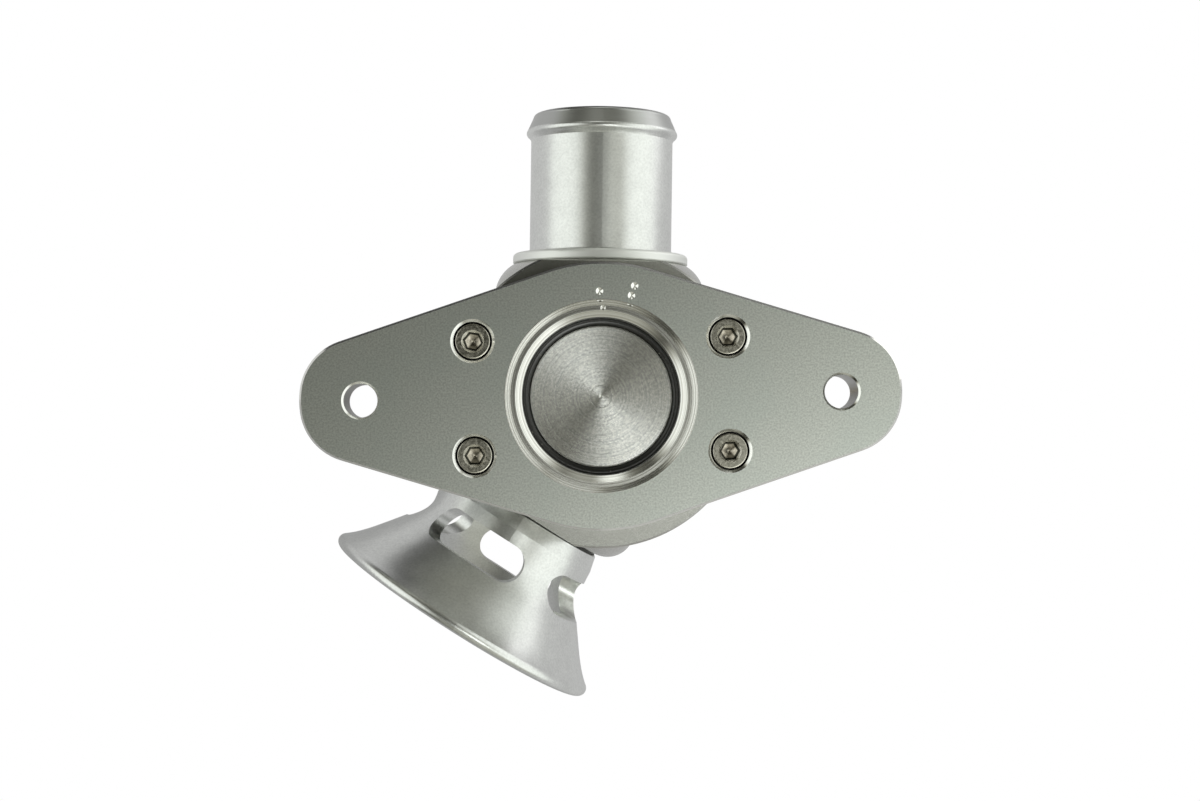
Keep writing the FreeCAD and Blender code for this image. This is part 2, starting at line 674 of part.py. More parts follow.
def hose_spigot():
    s = SPIGOT_SEAT
    c = COLLAR_ROUND
    root = TUBE_ROOT
    plug_end = s - PLUG_L + FINE_EDGE
    quarter_h = (BEAD_R - TUBE_R) / 4
    tip = SPIGOT_END - NOSE_ROUND
    return turned([
        (PORT_BORE_R, plug_end), (PLUG_R - EDGE, plug_end), (PLUG_R, plug_end + EDGE),
        (PLUG_R, s), (COLLAR_R - FINE_EDGE, s), (COLLAR_R, s + FINE_EDGE),
        (COLLAR_R, COLLAR_END - c), (quarter(COLLAR_R, COLLAR_END, c, -1, -1), (COLLAR_R - c, COLLAR_END)),
        (TUBE_R + root, COLLAR_END), (quarter(TUBE_R, COLLAR_END, root, 1, 1), (TUBE_R, COLLAR_END + root)),
        (TUBE_R, BEAD_AT - BEAD_RISE),
        ((TUBE_R + quarter_h, BEAD_AT - 0.7 * BEAD_RISE), (BEAD_R - quarter_h, BEAD_AT - 0.35 * BEAD_RISE)),
        ((BEAD_R, BEAD_AT), (NOSE_TOP_R, BEAD_AT + BEAD_FALL)), (NOSE_TIP_R, tip),
        ((NOSE_TIP_R - 0.3 * NOSE_ROUND, SPIGOT_END - 0.38 * NOSE_ROUND), (MOUTH_R, SPIGOT_END)),
        (PORT_BORE_R + root, SPIGOT_END), (PORT_BORE_R, SPIGOT_END - root),
    ])


# A smooth curve through points given as (distance along the axis, radius)
def flare(points):
    curve = Part.BSplineCurve()
    curve.interpolate([on_section(r, z) for z, r in points])
    return curve.toShape()


# The wall's outer side, its inner side and the full round lip that joins them
def trumpet_blank():
    a = math.radians(LIP_SLOPE)
    across = (math.sin(a), -math.cos(a))
    middle = (LIP_AT + LIP_ROUND * across[0], LIP_R + LIP_ROUND * across[1])
    tip = (middle[0] + LIP_ROUND * math.cos(a), middle[1] + LIP_ROUND * math.sin(a))
    lip_inner = (middle[0] + LIP_ROUND * across[0], middle[1] + LIP_ROUND * across[1])
    r = TUBE_R
    outer = [
        (NECK_AT, NECK_R), (11.8, r + 4.55), (14.2, r + 5.6), (16.8, r + 7.15), (20.4, r + 9.8),
        (24.0, r + 12.55), (28.2, r + 16.15), (LIP_AT, LIP_R),
    ]
    inner = [
        lip_inner, (28.8, r + 12.3), (24.3, r + 8.3), (19.8, r + 4.6), (15.0, r + 1.3),
        (10.0, r - 0.6), (BELL_STARTS, PORT_BORE_R),
    ]
    base = TRUMPET_BASE_R
    plug_end = FINE_EDGE - PLUG_L
    corners = [
        (BELL_STARTS, PORT_BORE_R), (plug_end, PORT_BORE_R), (plug_end, PLUG_R - EDGE),
        (plug_end + EDGE, PLUG_R), (0, PLUG_R), (0, base - JOINT_BEVEL), (EDGE, base),
        (NECK_AT / 2, (base + NECK_R) / 2 + FINE_EDGE), (NECK_AT, NECK_R),
    ]
    edges = []
    for (z0, r0), (z1, r1) in zip(corners[:-1], corners[1:]):
        edges.append(Part.makeLine(on_section(r0, z0), on_section(r1, z1)))
    edges.append(flare(outer))
    lip = [on_section(radius, z) for z, radius in (outer[-1], tip, lip_inner)]
    edges.append(Part.Arc(*lip).toShape())
    edges.append(flare(inner))
    return Part.Face(Part.Wire(edges)).revolve(ORIGIN, Z_AXIS, 360)


# One racetrack slot, cut by a round tool swung part of the way round the bell
def slot(centre_angle):
    middle = SLOT_START + SLOT_W / 2
    tool_r = SLOT_W / 2
    reach = LIP_R + OVER
    end_turn = math.degrees(math.asin(tool_r / TRUMPET_BASE_R))
    half = SLOT_ARC / 2 - end_turn
    sector = turned([
        (PORT_BORE_R / 2, SLOT_START), (reach, SLOT_START), (reach, SLOT_START + SLOT_W),
        (PORT_BORE_R / 2, SLOT_START + SLOT_W),
    ], 2 * half)
    sector.rotate(ORIGIN, Z_AXIS, centre_angle - half)
    tools = [sector]
    for side in (-1, 1):
        a = math.radians(centre_angle + side * half)
        away = at(math.cos(a), math.sin(a), 0)
        inside = at(0, 0, middle) + away * (PORT_BORE_R / 2)
        tools.append(Part.makeCylinder(tool_r, reach, inside, away))
    return tools


def trumpet():
    shape = trumpet_blank()
    for k in range(SLOT_COUNT):
        shape = shape.cut(slot(SLOT_FIRST + 360 / SLOT_COUNT * k))
    shape = shape.removeSplitter()
    shape.translate(at(0, 0, TRUMPET_SEAT))
    return shape


save(flange_plate(), "flange_plate")
for index, (place, turn) in enumerate(zip(screw_places(), FLANGE_SOCKET_TURNS)):
    save(flange_screw(place, turn), "flange_screw_" + str(index + 1))
save(flange_o_ring(), "flange_o_ring")
save(valve_body(), "valve_body")
save(piston(), "piston")
save(piston_seat_seal(), "piston_seat_seal")
save(piston_skirt_seal(), "piston_skirt_seal")
save(piston_guide_ring(), "piston_guide_ring")
save(main_spring(), "main_spring")
save(end_cap(), "end_cap")
save(cap_o_ring(), "cap_o_ring")
for index, place in enumerate(cap_screw_places()):
    save(cap_screw(place, 20.0 * index), "cap_screw_" + str(index + 1))
save(lay_nipple(vacuum_nipple()), "vacuum_nipple")
save(lay_nipple(nipple_washer()), "nipple_washer")
save(lay_out(hose_spigot(), SPIGOT_AZIMUTH), "hose_spigot")
save(lay_out(port_seal(SPIGOT_SEAT), SPIGOT_AZIMUTH), "spigot_o_ring")
save(lay_out(trumpet(), TRUMPET_AZIMUTH), "trumpet")
save(lay_out(port_seal(TRUMPET_SEAT), TRUMPET_AZIMUTH), "trumpet_o_ring")
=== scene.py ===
import bpy
import math
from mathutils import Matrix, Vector


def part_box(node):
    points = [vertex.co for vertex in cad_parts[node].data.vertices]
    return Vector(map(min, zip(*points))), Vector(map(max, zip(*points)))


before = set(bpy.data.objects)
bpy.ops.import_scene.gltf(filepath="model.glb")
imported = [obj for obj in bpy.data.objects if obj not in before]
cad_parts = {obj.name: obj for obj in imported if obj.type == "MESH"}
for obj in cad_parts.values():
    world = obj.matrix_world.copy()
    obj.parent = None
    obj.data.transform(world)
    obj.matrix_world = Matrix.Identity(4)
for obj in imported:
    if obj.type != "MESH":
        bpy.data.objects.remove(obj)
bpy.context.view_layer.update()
MM = 0.001
ORIGIN = (0.0, 0.0, 0.0)
UP = (0.0, 0.0, 1.0)


# The middle of a CAD piece's box
def middle(node):
    low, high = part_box(node)
    return (low + high) / 2


# Node helpers

class Graph:
    """The nodes of one material or of the world, with short ways to add and join them."""

    def __init__(self, owner):
        self.owner = owner
        owner.use_nodes = True
        self.tree = owner.node_tree
        self.tree.nodes.clear()

    def node(self, kind, **settings):
        n = self.tree.nodes.new(kind)
        for key, value in settings.items():
            setattr(n, key, value)
        return n

    # A socket is joined to the other one, and a plain value is set there
    def put(self, value, socket):
        if isinstance(value, bpy.types.NodeSocket):
            self.tree.links.new(value, socket)
        else:
            socket.default_value = value

    def math(self, operation, a, b=None):
        n = self.node("ShaderNodeMath", operation=operation)
        self.put(a, n.inputs[0])
        if b is not None:
            self.put(b, n.inputs[1])
        return n.outputs[0]

    def part_of(self, mask, share):
        return self.math("MULTIPLY", mask, share)

    def vector(self, operation, a, b=None):
        n = self.node("ShaderNodeVectorMath", operation=operation)
        self.put(a, n.inputs[0])
        if b is not None:
            self.put(b, n.inputs[1])
        return n.outputs["Value"] if operation in ("DOT_PRODUCT", "LENGTH") else n.outputs[0]

    def place(self):
        return self.node("ShaderNodeNewGeometry").outputs["Position"]

    def height(self):
        return self.split(self.place())[2]

    def facing_up(self):
        normal = self.node("ShaderNodeNewGeometry").outputs["Normal"]
        return self.split(normal)[2]

    def split(self, vector):
        n = self.node("ShaderNodeSeparateXYZ")
        self.put(vector, n.inputs[0])
        return n.outputs[0], n.outputs[1], n.outputs[2]

    def join(self, x, y, z):
        n = self.node("ShaderNodeCombineXYZ")
        for value, socket in zip((x, y, z), n.inputs):
            self.put(value, socket)
        return n.outputs[0]

    def noise(self, vector, scale, detail=3.0, roughness=0.5, dimensions="3D"):
        n = self.node("ShaderNodeTexNoise", noise_dimensions=dimensions)
        self.put(vector, n.inputs["W" if dimensions == "1D" else "Vector"])
        n.inputs["Scale"].default_value = scale
        n.inputs["Detail"].default_value = detail
        n.inputs["Roughness"].default_value = roughness
        return n.outputs["Fac"]

    def remap(self, value, low, high, to_low=0.0, to_high=1.0, smooth=True):
        n = self.node("ShaderNodeMapRange", interpolation_type="SMOOTHSTEP" if smooth else "LINEAR")
        for v, socket in zip((value, low, high, to_low, to_high), n.inputs):
            self.put(v, socket)
        return n.outputs[0]

    # The mix node keeps its colours in inputs 6 and 7 and output 2, and its numbers in 2, 3 and 0
    def mix(self, factor, a, b):
        n = self.node("ShaderNodeMix", data_type="RGBA")
        self.put(factor, n.inputs[0])
        self.put(a, n.inputs[6])
        self.put(b, n.inputs[7])
        return n.outputs[2]

    def mix_value(self, factor, a, b):
        n = self.node("ShaderNodeMix", data_type="FLOAT")
        self.put(factor, n.inputs[0])
        self.put(a, n.inputs[2])
        self.put(b, n.inputs[3])
        return n.outputs[0]

    def bump(self, height, distance, strength):
        n = self.node("ShaderNodeBump")
        self.put(height, n.inputs["Height"])
        n.inputs["Distance"].default_value = distance
        n.inputs["Strength"].default_value = strength
        return n.outputs[0]

    def output(self, result, kind="ShaderNodeOutputMaterial"):
        self.put(result, self.node(kind).inputs[0])
        return self.owner

    # The keywords are the names of the shader's inputs, with underscores for the spaces
    def surface(self, **inputs):
        shader = self.node("ShaderNodeBsdfPrincipled")
        for key, value in inputs.items():
            self.put(value, shader.inputs[key.replace("_", " ")])
        return self.output(shader.outputs[0])

    def metal(self, colour, rough, bumps, **inputs):
        return self.surface(Base_Color=colour, Metallic=1.0, Roughness=rough, Normal=bumps, **inputs)


def material(name):
    return Graph(bpy.data.materials.new(name))


def rgb(r, g, b):
    return (r, g, b, 1.0)


def tone(colour, factor):
    return rgb(*[c * factor for c in colour[:3]])


def paint(look, *nodes):
    for name in nodes:
        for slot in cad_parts[name].material_slots:
            slot.material = look


# Masks and patterns

# How far a place lies along a line through a point, and how far from that line
def about(g, point, axis):
    offset = g.vector("SUBTRACT", g.place(), point)
    along = g.vector("DOT_PRODUCT", offset, axis)
    on_axis = g.node("ShaderNodeVectorMath", operation="SCALE")
    on_axis.inputs[0].default_value = axis
    g.put(along, on_axis.inputs["Scale"])
    return along, g.vector("LENGTH", g.vector("SUBTRACT", offset, on_axis.outputs[0]))


# Lathe marks: fine random rings over a coordinate in metres
def lathe_marks(g, coordinate, per_mm):
    return g.noise(coordinate, per_mm / MM, detail=2.0, dimensions="1D")


# A noise that is stretched about its middle: from one end to the other over this much to both sides
def stretched(g, noise, half, ends=(0.0, 1.0), smooth=True):
    return g.remap(noise, 0.5 - half, 0.5 + half, *ends, smooth=smooth)


# How far a face looks up where it stops being flat, and where it is about to stand upright
NEARLY_FLAT = (0.985, 0.93)
NEARLY_UPRIGHT = (0.1, 0.3)


# 1 where a face is tilted, such as a chamfer or a bevel, and 0 on flat faces and upright walls
def tilted(g):
    up = g.facing_up()
    return g.math("MULTIPLY", g.remap(up, *NEARLY_FLAT), g.remap(up, *NEARLY_UPRIGHT))


# 1 on upright walls, such as a bore or the outer edge
def upright(g):
    return g.remap(g.math("ABSOLUTE", g.facing_up()), *reversed(NEARLY_UPRIGHT))


# How far from the middle the four flange screws stand along X and Y, read from the one on the +X and +Y side
SCREW_X, SCREW_Y = middle("flange_screw_2").xy
SCREW_GAP_R = 5.6 * MM
SCREW_GAP_TOP = -0.7 * MM
SCREW_GAP_BLUR = 0.2 * MM


# 1 down in the gap round the flange screws' heads, where the plate gets a near black painted shade
def screw_gap_shade(g):
    offset = g.vector("SUBTRACT", g.vector("ABSOLUTE", g.place()), (SCREW_X, SCREW_Y, 0.0))
    x, y = g.split(offset)[:2]
    from_screw = g.vector("LENGTH", g.join(x, y, 0.0))
    near = g.remap(from_screw, SCREW_GAP_R, SCREW_GAP_R - SCREW_GAP_BLUR)
    return g.math("MULTIPLY", near, g.remap(g.height(), SCREW_GAP_TOP, SCREW_GAP_TOP - SCREW_GAP_BLUR))


# Degrees from one side of a hexagon to the next
HEXAGON_STEP = 60
# How far round each flange screw's hexagon is turned, in degrees
HEXAGON_TURNS = (49.0, 0.0, 1.0, 0.0)
# Half the flange screws' hexagon across its flats, and the line of painted shade along its walls
SOCKET_HALF = 2.0 * MM
SOCKET_BLUR = 0.1 * MM
SOCKET_LINE_OUTER = 0.32 * MM
SOCKET_LINE_INNER = 0.14 * MM


# Two masks for the hexagon of the screw at a place: 1 inside it, and 1 along its walls, where a line of
# painted shade goes
def socket_masks(g, place, turn):
    offset = g.vector("SUBTRACT", g.place(), place)
    reach = 0.0
    for k in range(3):
        side = math.radians(HEXAGON_STEP * (k + 0.5) + turn)
        across = g.vector("DOT_PRODUCT", offset, (math.cos(side), math.sin(side), 0.0))
        reach = g.math("MAXIMUM", g.math("ABSOLUTE", across), reach)
    inside = g.remap(reach, SOCKET_HALF, SOCKET_HALF - SOCKET_BLUR)
    from_wall = g.math("ABSOLUTE", g.math("SUBTRACT", reach, SOCKET_HALF - SOCKET_BLUR))
    return inside, g.remap(from_wall, SOCKET_LINE_OUTER, SOCKET_LINE_INNER)


# Materials. The scales of the noises are in waves to a metre

MARK_HEIGHT = 0.002 * MM
GRAIN_HEIGHT = 0.004 * MM

PLATE_GREY = rgb(0.62, 0.64, 0.60)
PLATE_SPARKLE = (tone(PLATE_GREY, 0.86), tone(PLATE_GREY, 1.16))
PLATE_CLOUD = rgb(0.53, 0.60, 0.56)
CLOUD_RANGE = (0.4, 0.7)
CLOUD_SHARE = 0.22
PLATE_EDGE = rgb(0.88, 0.88, 0.84)
PLATE_WALL = rgb(0.56, 0.56, 0.54)
PLATE_RINGS = (rgb(0.50, 0.49, 0.45), rgb(0.92, 0.92, 0.88))
# Painted shade for the gap round the flange screws' heads
PLATE_GAP_SHADE = rgb(0.03, 0.03, 0.03)
PLATE_ROUGH = 0.28
EDGE_ROUGH = 0.13
RECESS_ROUGH = 0.21
WALL_ROUGH = 0.42
# The turned recess ends here
RECESS_R = 23.3 * MM
RECESS_BLUR = 0.15 * MM


# Fine sparkle of the blasted plate, with turned and polished edges
def plate_metal():
    g = material("plate aluminium")
    speckle = g.noise(g.place(), scale=2200, detail=2.0, roughness=0.6)
    cloud = g.noise(g.place(), scale=45)
    along, radius = about(g, ORIGIN, UP)
    rings = lathe_marks(g, g.math("ADD", radius, along), per_mm=3.2)
    recess = g.remap(radius, RECESS_R + RECESS_BLUR, RECESS_R)
    edge = tilted(g)
    wall = upright(g)
    shade = g.mix(stretched(g, speckle, half=0.14, smooth=False), *PLATE_SPARKLE)
    shade = g.mix(g.part_of(g.remap(cloud, *CLOUD_RANGE), CLOUD_SHARE), shade, PLATE_CLOUD)
    shade = g.mix(edge, shade, PLATE_EDGE)
    shade = g.mix(recess, shade, g.mix(stretched(g, rings, half=0.14, smooth=False), *PLATE_RINGS))
    shade = g.mix(wall, shade, PLATE_WALL)
    # Painted shade: the gap round the screw heads is painted near black
    shade = g.mix(screw_gap_shade(g), shade, PLATE_GAP_SHADE)
    rough = g.mix_value(edge, PLATE_ROUGH, EDGE_ROUGH)
    rough = g.mix_value(recess, rough, RECESS_ROUGH)
    rough = g.mix_value(wall, rough, WALL_ROUGH)
    return g.metal(shade, rough, g.bump(g.math("MULTIPLY", recess, rings), GRAIN_HEIGHT, strength=0.5))


OUTLET_GREY = rgb(0.78, 0.79, 0.77)
OUTLET_MOTTLE = (tone(OUTLET_GREY, 0.86), tone(OUTLET_GREY, 1.10))
# Painted shade for the spigot's nose and painted light for its collar
NOSE_PAINTED_SHADE = tone(OUTLET_GREY, 0.66)
COLLAR_PAINTED_LIGHT = rgb(0.92, 0.93, 0.90)
COLLAR_ROUGH = 0.50
SPIGOT_ROUGH = 0.32
TRUMPET_ROUGH = 0.30
# Lathe marks to a millimetre
SPIGOT_MARKS = 1.5
TRUMPET_MARKS = 1.0
# What the marks add to the roughness, the grain's share in the mottling and how far the marks lean on cones
RING_ROUGHNESS = 0.08
GRAIN_SHARE = 0.75
CONE_SLANT = 0.7
# Along the spigot's axis: where its collar ends, which is rougher and painted lighter as painted light, and
# where its nose starts, which is darkened with painted shade. The trumpet has neither
COLLAR_END = 38.1 * MM
COLLAR_BLUR = 0.2 * MM
NOSE_START = 70.2 * MM
NOSE_BLUR = 0.4 * MM
NO_COLLAR = 0.0
NO_NOSE = 1.0


# A turned outlet: rings round its axis, a fine grain and faint blotches. Its axis runs level from the
# valve's own axis through the middle of the ring that seals it
def turned_metal(name, seal, rough, per_mm, collar_end=NO_COLLAR, nose_start=NO_NOSE):
    g = material(name)
    centre = middle(seal)
    start = Vector((0.0, 0.0, centre.z))
    along, radius = about(g, start, (centre - start).normalized())
    rings = lathe_marks(g, g.math("ADD", along, g.part_of(radius, CONE_SLANT)), per_mm)
    grain = g.noise(g.place(), scale=1700, roughness=0.6)
    blotch = g.noise(g.place(), scale=260, detail=2.0)
    mottle = stretched(g, g.mix_value(GRAIN_SHARE, blotch, grain), half=0.2, smooth=False)
    collar = g.remap(along, collar_end, collar_end - COLLAR_BLUR)
    nose = g.remap(along, nose_start, nose_start + NOSE_BLUR)
    shade = g.mix(mottle, *OUTLET_MOTTLE)
    # Painted light: the collar is lighter
    shade = g.mix(collar, shade, COLLAR_PAINTED_LIGHT)
    # Painted shade: the nose is darker
    shade = g.mix(nose, shade, NOSE_PAINTED_SHADE)
    rough = g.mix_value(collar, rough - RING_ROUGHNESS / 2, COLLAR_ROUGH)
    rough = g.math("ADD", g.part_of(rings, RING_ROUGHNESS), rough)
    return g.metal(shade, rough, g.bump(rings, MARK_HEIGHT, strength=0.5))


BODY_GREYS = (rgb(0.50, 0.50, 0.47), rgb(0.60, 0.60, 0.57))
# Painted shade of the milled flats under the plate, darkest on the left and lighter to the right
FLAT_SHADE_GREYS = (rgb(0.24, 0.24, 0.22), rgb(0.56, 0.56, 0.52))
FLAT_GRAIN = rgb(0.14, 0.14, 0.12)
FLAT_GRAIN_SHARE = 0.25
BODY_ROUGH = 0.24
FLAT_ROUGH = 0.30
# The milled flats look up and lie behind a line; their painted shade, from the plate close above, gets
# lighter from the left to the right
FLATS_LOOK_UP = (0.60, 0.90)
FLATS_FROM_Y = (20.0 * MM, 25.0 * MM)
FLAT_SHADE_ACROSS_X = (-14.0 * MM, 8.0 * MM)


# The drum: turned, with rougher milled flats and bosses close under the plate, which get a painted shade
def body_metal():
    g = material("body aluminium")
    rings = lathe_marks(g, about(g, ORIGIN, UP)[0], per_mm=1.2)
    grain = g.noise(g.place(), scale=1900, roughness=0.6)
    x, y = g.split(g.place())[:2]
    flat = g.math("MULTIPLY", g.remap(g.facing_up(), *FLATS_LOOK_UP), g.remap(y, *FLATS_FROM_Y))
    shade = g.mix(stretched(g, grain, half=0.2, smooth=False), *BODY_GREYS)
    # Painted shade: the flats are darkest on the left and lighter to the right, with a little grain
    flat_shade_and_grain = g.mix(g.remap(x, *FLAT_SHADE_ACROSS_X), *FLAT_SHADE_GREYS)
    flat_shade_and_grain = g.mix(g.part_of(stretched(g, grain, half=0.2), FLAT_GRAIN_SHARE), flat_shade_and_grain, FLAT_GRAIN)
    shade = g.mix(flat, shade, flat_shade_and_grain)
    return g.metal(shade, g.mix_value(flat, BODY_ROUGH, FLAT_ROUGH), g.bump(rings, MARK_HEIGHT, strength=0.5))


FACE_GREYS = (rgb(0.62, 0.63, 0.62), rgb(0.97, 0.97, 0.94))
FACE_WARM = rgb(0.74, 0.70, 0.60)
FACE_WARM_SHARE = 0.22
FACE_CUT = rgb(0.30, 0.30, 0.28)
FACE_CUT_SHARE = 0.6
FACE_ROUGH = 0.24
FACE_GRAIN_SHARE = 0.7
FACE_CIRCLE_R = 2.65 * MM
FACE_CIRCLE_OUTER = 0.16 * MM
FACE_CIRCLE_INNER = 0.03 * MM


# The piston's face: fine rings from the facing cut, a cut circle near the centre and a little grain
def faced_metal():
    g = material("faced aluminium")
    radius = about(g, ORIGIN, UP)[1]
    rings = lathe_marks(g, radius, per_mm=2.4)
    wide_rings = lathe_marks(g, radius, per_mm=0.5)
    grain = g.noise(g.place(), scale=1800, roughness=0.6)
    speckle = g.mix_value(FACE_GRAIN_SHARE, rings, grain)
    from_circle = g.math("ABSOLUTE", g.math("SUBTRACT", radius, FACE_CIRCLE_R))
    circle = g.remap(from_circle, FACE_CIRCLE_OUTER, FACE_CIRCLE_INNER)
    tangent = g.node("ShaderNodeTangent", direction_type="RADIAL", axis="Z")
    shade = g.mix(stretched(g, speckle, half=0.12, smooth=False), *FACE_GREYS)
    shade = g.mix(g.part_of(wide_rings, FACE_WARM_SHARE), shade, FACE_WARM)
    shade = g.mix(g.part_of(circle, FACE_CUT_SHARE), shade, FACE_CUT)
    bumps = g.bump(g.math("SUBTRACT", rings, circle), GRAIN_HEIGHT, strength=0.5)
    return g.metal(shade, FACE_ROUGH, bumps, Anisotropic=0.9, Anisotropic_Rotation=0.25,
                   Tangent=tangent.outputs[0])


STEEL_GREYS = (rgb(0.34, 0.33, 0.28), rgb(0.46, 0.44, 0.38))
STEEL_EDGE = rgb(0.84, 0.81, 0.72)
STEEL_EDGE_SHARE = 0.8
# Painted shade on the upright walls and along the socket's walls, and painted light on the socket's floor
STEEL_WALL_SHADE = rgb(0.10, 0.10, 0.09)
SOCKET_FLOOR_PAINTED_LIGHT = (rgb(0.42, 0.38, 0.31), rgb(0.62, 0.57, 0.48))
SOCKET_SHADE_LINE = rgb(0.04, 0.04, 0.03)
SOCKET_ROUGH = 0.24
STEEL_ROUGH = (0.16, 0.30)
SOCKET_DEEPENS = 0.3 * MM


# A flange screw at a place: bright edges, upright walls darkened with painted shade, a line of painted shade
# along the socket's walls, and a socket floor painted lighter as painted light
def screw_steel(name, place, turn):
    g = material(name)
    grain = g.noise(g.place(), scale=1500)
    inside, shade_outline = socket_masks(g, place, turn)
    low = g.remap(g.height(), SCREW_GAP_TOP, SCREW_GAP_TOP - SOCKET_DEEPENS)
    shade = g.mix(stretched(g, grain, half=0.2), *STEEL_GREYS)
    shade = g.mix(g.part_of(tilted(g), STEEL_EDGE_SHARE), shade, STEEL_EDGE)
    # Painted shade: the upright walls are darkened
    shade = g.mix(upright(g), shade, STEEL_WALL_SHADE)
    # Painted light: the socket's floor is lighter than the head
    shade = g.mix(inside, shade, g.mix(stretched(g, grain, half=0.15), *SOCKET_FLOOR_PAINTED_LIGHT))
    # Painted shade: a dark line along the socket's walls, deep down
    shade = g.mix(g.math("MULTIPLY", shade_outline, low), shade, SOCKET_SHADE_LINE)
    rough = g.mix_value(inside, stretched(g, grain, half=0.3, ends=STEEL_ROUGH), SOCKET_ROUGH)
    return g.metal(shade, rough, g.bump(grain, GRAIN_HEIGHT, strength=0.4))


CAP_STEEL_GREYS = (rgb(0.36, 0.34, 0.29), rgb(0.48, 0.46, 0.40))
CAP_STEEL_ROUGH = 0.26


def cap_screw_steel():
    g = material("cap screw steel")
    grain = g.noise(g.place(), scale=1500)
    shade = g.mix(stretched(g, grain, half=0.2), *CAP_STEEL_GREYS)
    return g.metal(shade, CAP_STEEL_ROUGH, g.bump(grain, GRAIN_HEIGHT, strength=0.4))


RUBBER_BLACKS = (rgb(0.008, 0.008, 0.007), rgb(0.018, 0.018, 0.016))
RUBBER_DUST = rgb(0.34, 0.33, 0.28)
RUBBER_ROUGH = (0.20, 0.28)
# Only the highest tops of a noise are specks
RUBBER_SPECKS = (0.74, 0.80)


# Black rubber with a few light specks of dust
def black_rubber():
    g = material("black rubber")
    grain = g.noise(g.place(), scale=2400)
    specks = g.remap(g.noise(g.place(), scale=1400, detail=1.0), *RUBBER_SPECKS)
    shade = g.mix(specks, g.mix(grain, *RUBBER_BLACKS), RUBBER_DUST)
    rough = stretched(g, grain, half=0.3, ends=RUBBER_ROUGH)
    return g.surface(Base_Color=shade, Specular_IOR_Level=1.0, Roughness=rough,
                     Normal=g.bump(grain, GRAIN_HEIGHT, strength=0.3))


# A plain look for a hidden or small piece: two colours that a soft grain mixes
def plain(name, scale, dark, light, rough, metallic):
    g = material(name)
    shade = g.mix(g.noise(g.place(), scale, detail=2.0), dark, light)
    return g.surface(Base_Color=shade, Metallic=metallic, Roughness=rough)


def spring_steel():
    return plain("spring steel", scale=900, dark=rgb(0.36, 0.37, 0.38), light=rgb(0.50, 0.51, 0.52),
                 rough=0.3, metallic=1.0)


def guide_plastic():
    return plain("guide plastic", scale=700, dark=rgb(0.74, 0.74, 0.70), light=rgb(0.82, 0.82, 0.78),
                 rough=0.55, metallic=0.0)


def brass():
    return plain("turned brass", scale=900, dark=rgb(0.62, 0.44, 0.18), light=rgb(0.78, 0.58, 0.27),
                 rough=0.28, metallic=1.0)


SEALS = ("piston_seat_seal", "piston_skirt_seal", "flange_o_ring", "cap_o_ring", "spigot_o_ring",
         "trumpet_o_ring")


def paint_everything():
    paint(plate_metal(), "flange_plate")
    paint(body_metal(), "valve_body", "end_cap")
    spigot = turned_metal("spigot aluminium", "spigot_o_ring", SPIGOT_ROUGH, SPIGOT_MARKS,
                          COLLAR_END, NOSE_START)
    paint(spigot, "hose_spigot", "nipple_washer")
    paint(turned_metal("trumpet aluminium", "trumpet_o_ring", TRUMPET_ROUGH, TRUMPET_MARKS), "trumpet")
    paint(faced_metal(), "piston")
    for k, turn in enumerate(HEXAGON_TURNS, 1):
        screw = "flange_screw_%d" % k
        paint(screw_steel("screw steel %d" % k, middle(screw), turn), screw)
    paint(cap_screw_steel(), *["cap_screw_%d" % k for k in range(1, 5)])
    paint(spring_steel(), "main_spring")
    paint(black_rubber(), *SEALS)
    paint(guide_plastic(), "piston_guide_ring")
    paint(brass(), "vacuum_nipple")


# Stage

FLOOR_SIZE = 6.0
SHEET_GREY = rgb(0.86, 0.86, 0.86)
WHITE = rgb(1, 1, 1)

# The floor's brightness in the metal's reflections: on the left, what is added behind, on the right and in
# a bright pool far out on the right, and the share that is left far behind
FLOOR_LEFT = 0.42
FLOOR_BEHIND = 0.22
FLOOR_RIGHT = 0.18
FLOOR_POOL = 0.75
FLOOR_FAR = 0.12
# Where each of them starts and where it is full, along X and along Y
BEHIND_Y = (10 * MM, 50 * MM)
RIGHT_X = (-20 * MM, 20 * MM)
RIGHT_Y = (20 * MM, -20 * MM)
POOL_X = (90 * MM, 200 * MM)
POOL_Y = (60 * MM, 130 * MM)
FAR_AWAY = (60 * MM, 160 * MM)


# The floor's brightness in a reflection
def floor_reflection(g):
    x, y = g.split(g.place())[:2]
    behind = g.remap(y, *BEHIND_Y, 0.0, FLOOR_BEHIND)
    right = g.math("MULTIPLY", g.remap(x, *RIGHT_X, 0.0, FLOOR_RIGHT), g.remap(y, *RIGHT_Y))
    pool = g.math("MULTIPLY", g.remap(x, *POOL_X, 0.0, FLOOR_POOL), g.remap(y, *POOL_Y))
    level = g.math("ADD", g.math("ADD", behind, right), FLOOR_LEFT)
    away = g.math("SUBTRACT", y, g.math("ABSOLUTE", x))
    return g.math("MULTIPLY", g.math("ADD", level, pool), g.remap(away, *FAR_AWAY, 1.0, FLOOR_FAR))


